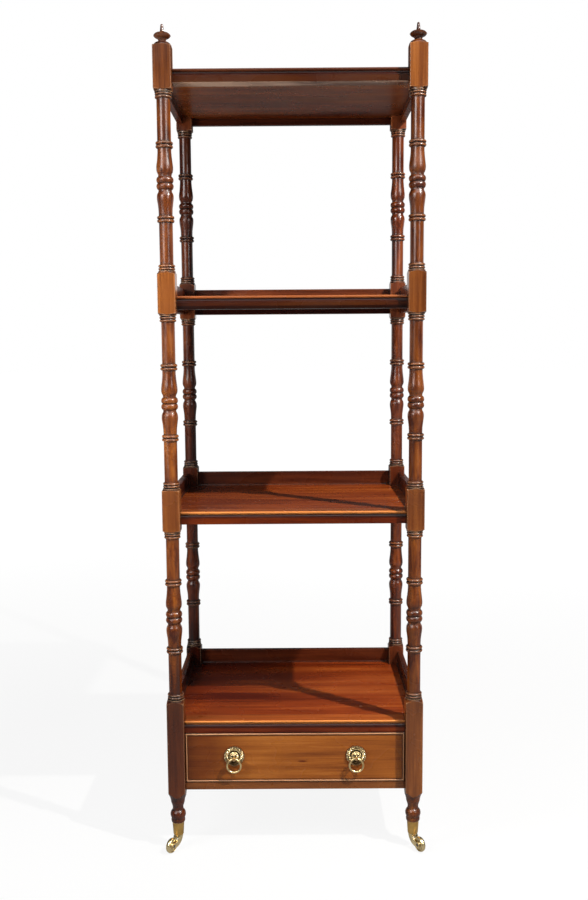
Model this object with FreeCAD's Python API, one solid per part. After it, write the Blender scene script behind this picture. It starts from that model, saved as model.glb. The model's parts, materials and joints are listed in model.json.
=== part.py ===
"""Four-tier etagere (whatnot) with a drawer in its base, on four brass castors.

Millimetres. The origin is on the floor at the middle of the footprint, +Z is up,
the drawer opens towards -Y and +X is to the right of somebody facing it.
Every piece of the furniture is written to parts/ as a STEP file of its own.
"""
import FreeCAD, Part
import math
import os

V = FreeCAD.Vector
UP = V(0, 0, 1)

# ---------------------------------------------------------------- carcase
POST_SPACING_X = 450.0        # between post axes, left to right
POST_SPACING_Y = 334.0        # between post axes, front to back
POST_SQUARE = 32.0            # side of the square blocks
POST_ARRIS = 0.8              # softened vertical edges of the blocks
LOWER_PITCH = 402.0           # base shelf to the next one
UPPER_PITCH = 395.0
TOP_PITCH = 396.0
BLOCK_RISE = 42.0             # block above a shelf's upper face
LOWER_BLOCK_DROP = 36.0       # blocks below the upper faces of their shelves
UPPER_BLOCK_DROP = 33.0
TOP_BLOCK_DROP = 38.0
TOP_BLOCK_RISE = 39.0
UNDER_SHOULDER = 2.5          # turned shoulder at the lower end of a block
LEG_SHOULDER = 5.5            # the same at the upper ends
LOWER_SHOULDER = 1.8
UPPER_SHOULDER = 4.0
CROWN_SHOULDER = 2.5
SHOULDER_CUT = 0.4            # how far the shoulders bite into the flat faces

# ---------------------------------------------------------------- turnings
SHAFT_R = 12.2                # plain shaft between collars and rings
COLLAR_FILLET_R = 15.5        # flat ring against a block
COLLAR_FILLET_HEIGHT = 2.4
COLLAR_QUIRK_R = 13.6         # narrowing after the flat ring
COLLAR_QUIRK_HEIGHT = 1.2
COLLAR_BEAD_R = 15.1
COLLAR_BEAD_HEIGHT = 4.6
COLLAR_GROOVE_R = 13.2
COLLAR_GAP = 0.6
RING_R_OUT = 15.5             # paired rings either side of the baluster
RING_HEIGHT = 5.5
RING_GROOVE_R = 13.2
RING_GAP = 0.6
BALUSTER_DROP = 1.4           # middle of the baluster below the middle of its stretch
UPPER_VASE_LENGTH = 47.1      # vases of the baluster, from their necks to the paired rings
LOWER_VASE_LENGTH = 43.9
VASE_NECK_R = 11.9
VASE_BELLY_R = 15.0
VASE_THROAT_R = 12.4
CENTRE_VALLEY_R = 12.8        # between the two fat central rings
CENTRE_RING_R = 15.3
CENTRE_RING_HEIGHT = 11.7
CENTRE_NECK_GAP = 1.7

# ---------------------------------------------------------------- feet
DRUM_HEIGHT = 8.2             # short drum just above the castor cup
DRUM_LOW_R = 12.4
DRUM_BELLY_R = 13.3
DRUM_TOP_R = 12.5
FOOT_RING_R = 14.7
FOOT_RING_HEIGHT = 16.4
FOOT_NECK_R = 10.2
FOOT_NECK_HEIGHT = 6.0
FOOT_TAPER_R = 13.0           # where the taper above the neck meets the square block
FOOT_TAPER_HEIGHT = 9.2
FOOT_FLARE_HEIGHT = 12.3      # from there to where the flat faces of the block begin
FOOT_SHOULDER_HEIGHT = 22.4   # corners of the block turned away above the taper

# ---------------------------------------------------------------- finials
DOME_R = 8.0                  # domed top of the post, where the finial stands
DOME_HEIGHT = 5.5
DOME_FULLNESS = 1.8
FINIAL_NECK_R = 6.6
FINIAL_NECK_HEIGHT = 2.5
FINIAL_CONE_R = 8.6           # top of the small cone under the disc
FINIAL_CONE_HEIGHT = 4.0
FINIAL_DISC_R = 15.2
FINIAL_DISC_HEIGHT = 9.4
FINIAL_CROWN_R = 8.7          # flat of the disc's upper face
SPIRE_FOOT_R = 3.5
SPIRE_FOOT_HEIGHT = 3.0
SPIRE_TIP_R = 2.3
SPIRE_HEIGHT = 15.1
DOWEL_R = 4.0
DOWEL_LENGTH = 14.0
DOWEL_CLEARANCE = 0.05
DOWEL_END_ROOM = 1.0

# ---------------------------------------------------------------- shelves
BOARD = 11.0                  # thickness of shelves, galleries and case sides
BOARD_INSET = 2.0             # outer faces of the boards inside the block faces
GALLERY_HEIGHT = 29.0         # above the shelf
GALLERY_ARRIS = 1.2           # rounded upper edges of the galleries
FOOT_BEAD = 2.4               # quarter-round along the foot of each gallery
RAIL_HEIGHT = 24.0            # moulded front edge, and how far the side boards hang down
RAIL_DEPTH = 30.0
RAIL_SETBACK = 14.0           # rail front behind the front faces of the blocks
EDGE_BEAD = 5.0               # height of the bead along the top of the front edge
EDGE_QUIRK_HEIGHT = 1.2       # square step under the bead, before the hollow
EDGE_HOLLOW_DEPTH = 3.8
EDGE_HOLLOW_HEIGHT = 6.2      # from the bead to the flat face
EDGE_ARRIS = 0.8              # softened lower edge

# ---------------------------------------------------------------- drawer case
CASE_RAISE = 1.0              # case above the top of the feet
CASE_RAIL = 15.0              # height of the bottom rail
DRAWER_OPENING = 96.8
RUNNER_WIDTH = 33.0
RUNNER_THICKNESS = 11.0
GUIDE_HEIGHT = 16.0
KICKER_WIDTH = 13.0           # strips that keep the open drawer level
KICKER_GAP = 1.0
STOP_LENGTH = 26.0
STOP_WIDTH = 9.0
STOP_ROOM = 3.3               # between the stops and the drawer bottom above them
STOP_OFFSET = 130.0           # from the middle of the drawer

# ---------------------------------------------------------------- drawer
DRAWER_GAP = 0.8              # round the drawer front
RUNNING_GAP = 0.3             # under the sides and at the stops
SIDE_GAP = 1.5                # between drawer sides and posts
FRONT_THICKNESS = 18.0
SIDE_THICKNESS = 10.0
DRAWER_BACK_ROOM = 27.0       # behind the closed drawer
SIDE_TOP_ROOM = 7.7           # drawer sides below the top of the opening
DRAWER_BOTTOM = 6.0
BOTTOM_RAISE = 8.0            # bottom board above the lower edges of the sides
BOTTOM_GROOVE = 4.0
BEAD_WIDTH = 3.0              # cock bead round the drawer front
BEAD_PROUD = 1.4
BEAD_DEPTH = 6.0
DOVETAILS = 3
DOVETAIL_WIDTH = 16.0         # at the end of each tail
DOVETAIL_FLARE = 3.0
DOVETAIL_WEB = 1.0            # wood left between the tails and the cock bead

# ---------------------------------------------------------------- ring pulls
PULL_SPACING = 232.0
PULL_RAISE = 3.4              # middle of the lion mask above the middle of the drawer
MASK_R = 19.0
MASK_RIM = 2.4                # thickness at the rim
MASK_RIDGE_R = 14.0           # raised ring of the mane
MASK_RIDGE_HEIGHT = 4.6
MASK_VALLEY_R = 10.8
MASK_VALLEY_HEIGHT = 3.6
MASK_HEAD_R = 9.6             # rounded face
MASK_HEAD_HEIGHT = 7.2
MASK_FLUTES = 20
FLUTE_R = 1.1
MUZZLE_WIDTH = 9.0
MUZZLE_WALL = 2.0             # round the ring's hole
MUZZLE_ROUND = 1.8
HINGE_DROP = 2.5              # ring hinge below the middle of the mask
HINGE_STANDOFF = 10.0         # ring hinge from the drawer front
RING_R = 13.0                 # centre line of the ring
RING_WIRE_R = 2.0
RING_CLEARANCE = 0.12
STUD_R = 2.0
STUD_IN_MASK = 3.0
STUD_CLEARANCE = 0.1
STUD_END = 2.0                # stud beyond its nut
NUT_FLAT = 8.0                # across flats
NUT_HEIGHT = 3.0
WASHER_R = 6.0
WASHER_HEIGHT = 1.0

# ---------------------------------------------------------------- castors
WHEEL_R = 14.0
WHEEL_WIDTH = 8.0
WHEEL_CROWN = 0.9             # how much the tread falls away at its edges
WHEEL_CHAMFER = 0.5
WHEEL_HUB_R = 4.6
WHEEL_RIM = 2.6               # solid rim outside the dished web
WHEEL_DISH = 1.6              # how far the web is sunk on each side
WHEEL_OFFSET = 8.5            # nearest point of the wheel from the swivel axis
TRAIL_ANGLE = 30.0            # outward turn of each castor from straight fore and aft
AXLE_R = 2.0
AXLE_RUNNING = 0.05
AXLE_SEAT = 0.02
AXLE_HEAD_R = 3.2
AXLE_HEAD_HEIGHT = 1.0
FORK_ARM = 2.0                # thickness of each arm
FORK_SIDE_GAP = 0.3
FORK_EYE_R = 4.6
FORK_CROWN_R = 7.6
FORK_CROWN_HEIGHT = 6.0
FORK_WHEEL_GAP = 1.2          # between the tread and the crown
STEM_R = 2.5
STEM_HEAD_R = 4.0
STEM_HEAD_HEIGHT = 1.6
STEM_POCKET_R = 5.0           # recess in the end of the leg for the riveted stem
STEM_POCKET_DEPTH = 3.2
SWIVEL_GAP = 0.3
CUP_ABOVE_AXLE = 13.8
CUP_HEIGHT = 25.6
CUP_TOP_R = 11.3
CUP_LOW_R = 9.8
CUP_WALL = 1.5
CUP_FLOOR = 2.4
CUP_ROUND = 1.4
CUP_FIT = 0.1                 # between the cup and the leg inside it

# ---------------------------------------------------------------- worked out
HALF_X = POST_SPACING_X / 2
HALF_Y = POST_SPACING_Y / 2
HALF_SQUARE = POST_SQUARE / 2
BEYOND_CORNER = HALF_SQUARE * math.sqrt(2) + 1     # radius that clears the block's corners
SHOULDER_R = HALF_SQUARE - SHOULDER_CUT            # turned ends of the blocks
BLOCK_IN_X = HALF_X - HALF_SQUARE                  # inner faces of the blocks
BLOCK_IN_Y = HALF_Y - HALF_SQUARE
BOARD_OUT_X = HALF_X + HALF_SQUARE - BOARD_INSET
BOARD_IN_X = BOARD_OUT_X - BOARD
BOARD_OUT_Y = HALF_Y + HALF_SQUARE - BOARD_INSET
BOARD_IN_Y = BOARD_OUT_Y - BOARD
SHELF_X = BOARD_IN_X - FOOT_BEAD                   # edges of the shelf boards
SHELF_BACK = BOARD_IN_Y - FOOT_BEAD
FRONT = -(HALF_Y + HALF_SQUARE) + RAIL_SETBACK     # front of the rails and the drawer
RAIL_BACK = FRONT + RAIL_DEPTH

CUP_BOTTOM = WHEEL_R + CUP_ABOVE_AXLE
CUP_TOP = CUP_BOTTOM + CUP_HEIGHT
LEG_END = CUP_BOTTOM + CUP_FLOOR
DRUM_TOP = CUP_TOP + DRUM_HEIGHT
FOOT_RING_TOP = DRUM_TOP + FOOT_RING_HEIGHT
FOOT_NECK_TOP = FOOT_RING_TOP + FOOT_NECK_HEIGHT
FOOT_TAPER_TOP = FOOT_NECK_TOP + FOOT_TAPER_HEIGHT
FOOT_TOP = FOOT_TAPER_TOP + FOOT_SHOULDER_HEIGHT
CASE_BOTTOM = FOOT_TOP + CASE_RAISE
RUNNER_TOP = CASE_BOTTOM + CASE_RAIL
CASE_TOP = RUNNER_TOP + DRAWER_OPENING
BASE_SHELF = CASE_TOP + RAIL_HEIGHT
LOWER_SHELF = BASE_SHELF + LOWER_PITCH
UPPER_SHELF = LOWER_SHELF + UPPER_PITCH
TOP_SHELF = UPPER_SHELF + TOP_PITCH
POST_TOP = TOP_SHELF + TOP_BLOCK_RISE

DRAWER_X = BLOCK_IN_X - DRAWER_GAP                 # outside of the cock beads
DRAWER_LOW = RUNNER_TOP + DRAWER_GAP
DRAWER_HIGH = CASE_TOP - DRAWER_GAP
SIDE_OUT_X = BLOCK_IN_X - SIDE_GAP
SIDE_IN_X = SIDE_OUT_X - SIDE_THICKNESS
SIDE_LOW = RUNNER_TOP + RUNNING_GAP
SIDE_HIGH = CASE_TOP - SIDE_TOP_ROOM
FRONT_BACK = FRONT + FRONT_THICKNESS               # inner face of the drawer front
DRAWER_BACK = BOARD_IN_Y - DRAWER_BACK_ROOM
FLOOR_LOW = SIDE_LOW + BOTTOM_RAISE
FLOOR_HIGH = FLOOR_LOW + DRAWER_BOTTOM
PULL_Z = (DRAWER_LOW + DRAWER_HIGH) / 2 + PULL_RAISE
HINGE_Y = FRONT - HINGE_STANDOFF
HINGE_Z = PULL_Z - HINGE_DROP
TRAIL = WHEEL_R + WHEEL_OFFSET                     # axle from the swivel axis
ARM_IN = WHEEL_WIDTH / 2 + FORK_SIDE_GAP           # inner faces of the fork's arms

SHELVES = (("base", BASE_SHELF), ("lower", LOWER_SHELF), ("upper", UPPER_SHELF), ("top", TOP_SHELF))
CORNERS = (("front_left", -1, -1), ("front_right", 1, -1),
           ("back_left", -1, 1), ("back_right", 1, 1))
SIDES = (("left", -1), ("right", 1))


# ---------------------------------------------------------------- helpers
def save(name, *solids):
    """Write one node; loose solids that belong together share it."""
    shape = solids[0] if len(solids) == 1 else Part.Compound(list(solids))
    shape.exportStep("parts/%s.step" % name)


def box(x0, x1, y0, y1, z0, z1):
    """Box between two values along each axis, given in either order."""
    low = V(min(x0, x1), min(y0, y1), min(z0, z1))
    return Part.makeBox(abs(x1 - x0), abs(y1 - y0), abs(z1 - z0), low)


def moved(shape, x=0.0, y=0.0, z=0.0):
    copy = shape.copy()
    copy.translate(V(x, y, z))
    return copy


def rounded(solid, radius, wanted):
    """Fillet the straight edges whose two end points satisfy wanted(a, b)."""
    edges = [e for e in solid.Edges if wanted(e.Vertexes[0].Point, e.Vertexes[-1].Point)]
    return solid.makeFillet(radius, edges)


def shifted(curves, dz):
    return [[(r, z + dz) for r, z in curve] for curve in curves]


def mirrored(curves):
    """The same curves upside down about z = 0, still running upwards."""
    return [[(r, -z) for r, z in reversed(curve)] for curve in reversed(curves)]


def cap(radius, z, height):
    """Arc of a spherical cap, from its edge at height z to its pole on the axis."""
    sphere = (radius ** 2 + height ** 2) / (2 * height)
    half_angle = math.asin(min(1.0, radius / sphere)) / 2
    pole = z + height
    return [(radius, z), (sphere * math.sin(half_angle), pole - sphere * (1 - math.cos(half_angle))),
            (0, pole)]


def outline_edges(curves, to_point):
    """Edges through curves of 2 points (line), 3 (arc) or more (smooth, level at both ends)."""
    edges = []
    last = None
    for curve in curves:
        points = [to_point(a, b) for a, b in curve]
        if last is not None and last.distanceToPoint(points[0]) > 1e-6:
            edges.append(Part.LineSegment(last, points[0]).toShape())
        if len(points) == 2:
            edges.append(Part.LineSegment(points[0], points[1]).toShape())
        elif len(points) == 3:
            edges.append(Part.Arc(*points).toShape())
        elif len(points) > 3:
            spline = Part.BSplineCurve()
            level = to_point(0, 1) - to_point(0, 0)
            spline.interpolate(Points=points, InitialTangent=level, FinalTangent=level)
            edges.append(spline.toShape())
        last = points[-1]
    first = to_point(*curves[0][0])
    if first.distanceToPoint(last) > 1e-6:
        edges.append(Part.LineSegment(last, first).toShape())
    return edges


def closed_face(curves, to_point):
    return Part.Face(Part.Wire(outline_edges(curves, to_point)))


def turned(curves):
    """Solid of revolution about Z; the curves are (radius, height) points."""
    return closed_face(curves, lambda r, z: V(r, 0, z)).revolve(V(0, 0, 0), UP, 360)


def moulding(curves, x0, x1):
    """Extrusion along X; the curves are (y, z) points."""
    return closed_face(curves, lambda y, z: V(x0, y, z)).extrude(V(x1 - x0, 0, 0))


def polygon(corners, depth):
    """Prism on a closed polygon."""
    return Part.Face(Part.makePolygon(corners + corners[:1])).extrude(depth)


# ---------------------------------------------------------------- posts
def bead_run(count, groove_r, bead_r, height, gap, z):
    """Half-round beads one above the other, with narrow grooves between them."""
    pitch = height + gap
    return [[(groove_r, z + i * pitch), (bead_r, z + i * pitch + height / 2),
             (groove_r, z + i * pitch + height)] for i in range(count)]


def collar():
    """Flat ring and two beads, upwards from the end of a block at z = 0."""
    z = COLLAR_FILLET_HEIGHT
    flat = [(COLLAR_FILLET_R, 0), (COLLAR_FILLET_R, z)]
    quirk = [(COLLAR_QUIRK_R, z + COLLAR_QUIRK_HEIGHT / 4), (COLLAR_QUIRK_R, z + COLLAR_QUIRK_HEIGHT)]
    z += COLLAR_QUIRK_HEIGHT
    beads = bead_run(2, COLLAR_GROOVE_R, COLLAR_BEAD_R, COLLAR_BEAD_HEIGHT, COLLAR_GAP, z)
    z = beads[-1][-1][1]
    return [flat, quirk] + beads + [[(SHAFT_R, z + COLLAR_GAP), (SHAFT_R, z + 2 * COLLAR_GAP)]]


def half_baluster(vase_length):
    """Upper half of a baluster, whose middle is at z = 0."""
    neck = CENTRE_RING_HEIGHT + CENTRE_NECK_GAP
    rings = neck + vase_length
    centre = [(CENTRE_VALLEY_R, 0), (CENTRE_RING_R, CENTRE_RING_HEIGHT / 2),
              (VASE_NECK_R, CENTRE_RING_HEIGHT)]
    rise = VASE_BELLY_R - VASE_NECK_R
    vase = [(VASE_NECK_R, neck),
            (VASE_NECK_R + 0.57 * rise, neck + 0.10 * vase_length),
            (VASE_BELLY_R, neck + 0.26 * vase_length),
            (VASE_NECK_R + 0.58 * rise, neck + 0.53 * vase_length),
            (VASE_THROAT_R, neck + 0.82 * vase_length),
            (SHAFT_R, rings)]
    beads = bead_run(2, RING_GROOVE_R, RING_R_OUT, RING_HEIGHT, RING_GAP, rings)
    z = beads[-1][-1][1]
    return [centre, vase] + beads + [[(SHAFT_R, z), (SHAFT_R, z + RING_GAP)]]


def turned_stretch(z0, z1):
    """Turning between the block that ends at z0 and the one that starts at z1."""
    baluster = mirrored(half_baluster(LOWER_VASE_LENGTH)) + half_baluster(UPPER_VASE_LENGTH)
    middle = (z0 + z1) / 2 - BALUSTER_DROP
    return shifted(collar(), z0) + shifted(baluster, middle) + shifted(mirrored(collar()), z1)


def foot_curves():
    """Turned foot, from the end of the leg inside the castor cup up to the base block."""
    low_r = CUP_LOW_R - CUP_WALL - CUP_FIT
    top_r = CUP_TOP_R - CUP_WALL - CUP_FIT
    pocket_top = LEG_END + STEM_POCKET_DEPTH
    return [[(0, pocket_top), (STEM_POCKET_R, pocket_top)],
            [(STEM_POCKET_R, LEG_END), (low_r, LEG_END)],
            [(top_r, CUP_TOP), (DRUM_LOW_R, CUP_TOP)],
            [(DRUM_LOW_R, CUP_TOP), (DRUM_BELLY_R, CUP_TOP + DRUM_HEIGHT / 2), (DRUM_TOP_R, DRUM_TOP)],
            [(DRUM_TOP_R, DRUM_TOP), (FOOT_RING_R, DRUM_TOP + FOOT_RING_HEIGHT / 2),
             (FOOT_NECK_R, FOOT_RING_TOP)],
            [(FOOT_NECK_R, FOOT_RING_TOP), (FOOT_NECK_R, FOOT_NECK_TOP)],
            [(FOOT_NECK_R, FOOT_NECK_TOP), (FOOT_TAPER_R, FOOT_TAPER_TOP)]]


def square_block(lower_end, high, shoulder):
    """Square block turned to the curve lower_end below, and to a round shoulder at its top, high."""
    low = lower_end[0][1]
    blank = box(-HALF_SQUARE, HALF_SQUARE, -HALF_SQUARE, HALF_SQUARE, low, high)
    blank = rounded(blank, POST_ARRIS, lambda a, b: abs(a.z - b.z) > 1)
    return blank.common(turned([[(0, low), lower_end[0]],
                                lower_end,
                                [lower_end[-1], (BEYOND_CORNER, high - shoulder)],
                                [(SHOULDER_R, high), (0, high)]]))


def post():
    """One post on the Z axis, from the foot to its domed top."""
    spans = [(FOOT_TOP, BASE_SHELF + BLOCK_RISE, LEG_SHOULDER),
             (LOWER_SHELF - LOWER_BLOCK_DROP, LOWER_SHELF + BLOCK_RISE, LOWER_SHOULDER),
             (UPPER_SHELF - UPPER_BLOCK_DROP, UPPER_SHELF + BLOCK_RISE, UPPER_SHOULDER),
             (TOP_SHELF - TOP_BLOCK_DROP, POST_TOP, CROWN_SHOULDER)]
    curves = foot_curves() + [[(SHAFT_R, spans[0][0]), (SHAFT_R, spans[0][1])]]
    for below, above in zip(spans, spans[1:]):
        curves += turned_stretch(below[1], above[0])
        curves.append([(SHAFT_R, above[0]), (SHAFT_R, above[1])])
    middle_r = (SHOULDER_R + DOME_R) / 2 + DOME_FULLNESS
    crown = POST_TOP + DOME_HEIGHT
    curves += [[(SHOULDER_R, POST_TOP), (middle_r, POST_TOP + 0.6 * DOME_HEIGHT), (DOME_R, crown)],
               [(0, crown), (0, LEG_END + STEM_POCKET_DEPTH)]]
    solid = turned(curves)
    flare = [(FOOT_TAPER_R, FOOT_TAPER_TOP), (HALF_SQUARE, FOOT_TAPER_TOP + FOOT_FLARE_HEIGHT),
             (BEYOND_CORNER, FOOT_TOP)]
    solid = solid.fuse(square_block(flare, *spans[0][1:]))
    for low, high, shoulder in spans[1:]:
        underside = [(SHOULDER_R, low), (BEYOND_CORNER, low + UNDER_SHOULDER)]
        solid = solid.fuse(square_block(underside, high, shoulder))
    depth = DOWEL_LENGTH + DOWEL_END_ROOM
    bore = Part.makeCylinder(DOWEL_R + DOWEL_CLEARANCE, depth, V(0, 0, crown - depth))
    return solid.cut(bore).removeSplitter()


def finial():
    """Turned finial on the Z axis, standing on z = 0 with its dowel below."""
    disc = FINIAL_NECK_HEIGHT + FINIAL_CONE_HEIGHT
    middle = disc + FINIAL_DISC_HEIGHT / 2
    top = disc + FINIAL_DISC_HEIGHT
    tip = top + SPIRE_HEIGHT
    foot_r = FINIAL_NECK_R + 0.8
    return turned([[(0, -DOWEL_LENGTH), (DOWEL_R, -DOWEL_LENGTH)],
                   [(DOWEL_R, 0), (foot_r, 0)],
                   [(FINIAL_NECK_R, FINIAL_NECK_HEIGHT), (FINIAL_CONE_R, disc)],
                   [(FINIAL_CONE_R, disc), (FINIAL_DISC_R - 1.6, disc + 0.24 * FINIAL_DISC_HEIGHT),
                    (FINIAL_DISC_R, middle)],
                   [(FINIAL_DISC_R, middle), (FINIAL_DISC_R - 2.2, disc + 0.8 * FINIAL_DISC_HEIGHT),
                    (FINIAL_CROWN_R, top)],
                   [(FINIAL_CROWN_R, top), (SPIRE_FOOT_R + 1.7, top + 0.8),
                    (SPIRE_FOOT_R, top + SPIRE_FOOT_HEIGHT)],
                   cap(SPIRE_TIP_R, tip - 0.7 * SPIRE_TIP_R, 0.7 * SPIRE_TIP_R)])


# ---------------------------------------------------------------- shelves
def front_rail(top):
    """Moulded front edge of a shelf: a bead, a hollow under it and a flat face."""
    half = EDGE_BEAD / 2
    bead_low = top - EDGE_BEAD
    quirk_low = bead_low - EDGE_QUIRK_HEIGHT
    hollow_low = bead_low - EDGE_HOLLOW_HEIGHT
    low = top - RAIL_HEIGHT
    deep = FRONT + EDGE_HOLLOW_DEPTH
    hollow_middle = (FRONT + 0.7 * EDGE_HOLLOW_DEPTH, 0.4 * quirk_low + 0.6 * hollow_low)
    return moulding([[(RAIL_BACK, top), (FRONT + half, top)],
                     [(FRONT + half, top), (FRONT, top - half), (FRONT + half, bead_low)],
                     [(deep, bead_low), (deep, quirk_low)],
                     [(deep, quirk_low), hollow_middle, (FRONT, hollow_low)],
                     [(FRONT, low + EDGE_ARRIS), (FRONT + EDGE_ARRIS, low)],
                     [(RAIL_BACK, low), (RAIL_BACK, top)]], -BLOCK_IN_X, BLOCK_IN_X)


def shelf(top):
    """Shelf board, notched round the posts and let in behind the front rail."""
    low = top - BOARD
    board = box(-SHELF_X, SHELF_X, -BLOCK_IN_Y, SHELF_BACK, low, top)
    board = board.cut(box(-BLOCK_IN_X, BLOCK_IN_X, -BLOCK_IN_Y, RAIL_BACK, low, top))
    for _, side in SIDES:
        board = board.cut(box(side * BLOCK_IN_X, side * SHELF_X, BLOCK_IN_Y, SHELF_BACK, low, top))
    return board


def edge_board(length, low, top):
    """Board along X from x = 0, its inner face on y = 0, with a beaded strip that the shelf butts against."""
    high = top + GALLERY_HEIGHT
    board = box(0, length, 0, -BOARD, low, high)
    board = rounded(board, GALLERY_ARRIS, lambda a, b: min(a.z, b.z) > high - 0.01 and abs(a.x - b.x) > 1)
    slant = FOOT_BEAD * math.sqrt(0.5)
    strip = moulding([[(0, top - BOARD), (FOOT_BEAD, top - BOARD)],
                      [(FOOT_BEAD, top), (slant, top + slant), (0, top + FOOT_BEAD)]], 0, length)
    return board.fuse(strip).removeSplitter()


def back_board(low, top):
    board = edge_board(2 * BLOCK_IN_X, low, top)
    board.rotate(V(0, 0, 0), UP, 180)
    return moved(board, BLOCK_IN_X, BOARD_IN_Y)


def side_board(side, low, top):
    board = edge_board(2 * BLOCK_IN_Y, low, top)
    board.rotate(V(0, 0, 0), UP, side * 90)
    return moved(board, side * BOARD_IN_X, -side * BLOCK_IN_Y)


# ---------------------------------------------------------------- drawer case
def bottom_rail():
    return box(-BLOCK_IN_X, BLOCK_IN_X, FRONT, RAIL_BACK, CASE_BOTTOM, RUNNER_TOP)


def runner(side):
    """L-shaped strip that carries one side of the drawer and guides it."""
    inner = BOARD_IN_X - RUNNER_WIDTH
    strip = box(side * inner, side * BOARD_IN_X, RAIL_BACK, BLOCK_IN_Y,
                RUNNER_TOP - RUNNER_THICKNESS, RUNNER_TOP)
    guide = box(side * BLOCK_IN_X, side * BOARD_IN_X, RAIL_BACK, BLOCK_IN_Y,
                RUNNER_TOP, RUNNER_TOP + GUIDE_HEIGHT)
    return strip.fuse(guide).removeSplitter()


def kicker(side):
    """Strip under the base shelf, just above the side of the drawer."""
    return box(side * (BLOCK_IN_X - KICKER_WIDTH), side * BLOCK_IN_X, RAIL_BACK, BLOCK_IN_Y,
               SIDE_HIGH + KICKER_GAP, BASE_SHELF - BOARD)


def drawer_stop(side):
    """Small block on the bottom rail that meets the back of the drawer front."""
    x = side * STOP_OFFSET
    y = FRONT_BACK + RUNNING_GAP
    return box(x - STOP_LENGTH / 2, x + STOP_LENGTH / 2, y, y + STOP_WIDTH, RUNNER_TOP, FLOOR_LOW - STOP_ROOM)


# ---------------------------------------------------------------- drawer
def dovetails(side):
    """Tails of one drawer side, reaching into the end of the front."""
    length = FRONT_THICKNESS - BEAD_DEPTH - DOVETAIL_WEB
    pitch = (SIDE_HIGH - FLOOR_HIGH) / DOVETAILS
    tip = DOVETAIL_WIDTH / 2
    root = tip - DOVETAIL_FLARE
    tails = []
    for i in range(DOVETAILS):
        z = FLOOR_HIGH + pitch * (i + 0.5)
        corners = [V(0, FRONT_BACK, z - root), V(0, FRONT_BACK, z + root),
                   V(0, FRONT_BACK - length, z + tip), V(0, FRONT_BACK - length, z - tip)]
        tail = polygon(corners, V(SIDE_THICKNESS, 0, 0))
        tails.append(moved(tail, SIDE_IN_X if side > 0 else -SIDE_OUT_X))
    return tails


def drawer_bottom():
    """Bottom board, its edges held in grooves of the front and the sides."""
    reach = SIDE_IN_X + BOTTOM_GROOVE
    return box(-reach, reach, FRONT_BACK - BOTTOM_GROOVE, DRAWER_BACK, FLOOR_LOW, FLOOR_HIGH)


def drawer_front():
    board = box(-DRAWER_X, DRAWER_X, FRONT, FRONT_BACK, DRAWER_LOW, DRAWER_HIGH)
    rim = box(-DRAWER_X, DRAWER_X, FRONT, FRONT + BEAD_DEPTH, DRAWER_LOW, DRAWER_HIGH)
    rim = rim.cut(box(-DRAWER_X + BEAD_WIDTH, DRAWER_X - BEAD_WIDTH, FRONT, FRONT + BEAD_DEPTH,
                      DRAWER_LOW + BEAD_WIDTH, DRAWER_HIGH - BEAD_WIDTH))
    board = board.cut(rim).cut(drawer_bottom())
    for _, side in SIDES:
        for tail in dovetails(side):
            board = board.cut(tail)
        board = board.cut(Part.makeCylinder(STUD_R + STUD_CLEARANCE, FRONT_THICKNESS,
                                            V(side * PULL_SPACING / 2, FRONT, PULL_Z), V(0, 1, 0)))
    return board


def drawer_side(side):
    board = box(side * SIDE_IN_X, side * SIDE_OUT_X, FRONT_BACK, DRAWER_BACK, SIDE_LOW, SIDE_HIGH)
    for tail in dovetails(side):
        board = board.fuse(tail)
    return board.cut(drawer_bottom()).removeSplitter()


def drawer_back():
    return box(-SIDE_IN_X, SIDE_IN_X, DRAWER_BACK - SIDE_THICKNESS, DRAWER_BACK, FLOOR_HIGH, SIDE_HIGH)


def cock_bead(length):
    """Bead strip along X from x = 0, mitred at both ends, outer edge on z = 0, front on y = 0."""
    strip = moulding([[(BEAD_DEPTH, 0), (0, 0)],
                      [(0, 0), (-BEAD_PROUD, BEAD_WIDTH / 2), (0, BEAD_WIDTH)],
                      [(0, BEAD_WIDTH), (BEAD_DEPTH, BEAD_WIDTH)]], 0, length)
    front = -2 * BEAD_PROUD
    for x, inward in ((0, 1), (length, -1)):
        corners = [V(x, front, 0), V(x + inward * BEAD_WIDTH, front, BEAD_WIDTH), V(x, front, BEAD_WIDTH)]
        strip = strip.cut(polygon(corners, V(0, 2 * (BEAD_DEPTH + BEAD_PROUD), 0)))
    return strip


def cock_beads():
    """Four mitred strips let into the edges of the drawer front."""
    wide = 2 * DRAWER_X
    high = DRAWER_HIGH - DRAWER_LOW
    strips = []
    for length, turn, x, z in ((wide, 0, -DRAWER_X, DRAWER_LOW), (high, -90, DRAWER_X, DRAWER_LOW),
                               (wide, 180, DRAWER_X, DRAWER_HIGH), (high, 90, -DRAWER_X, DRAWER_HIGH)):
        strip = cock_bead(length)
        strip.rotate(V(0, 0, 0), V(0, 1, 0), turn)
        strips.append(moved(strip, x, FRONT, z))
    return strips


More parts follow.
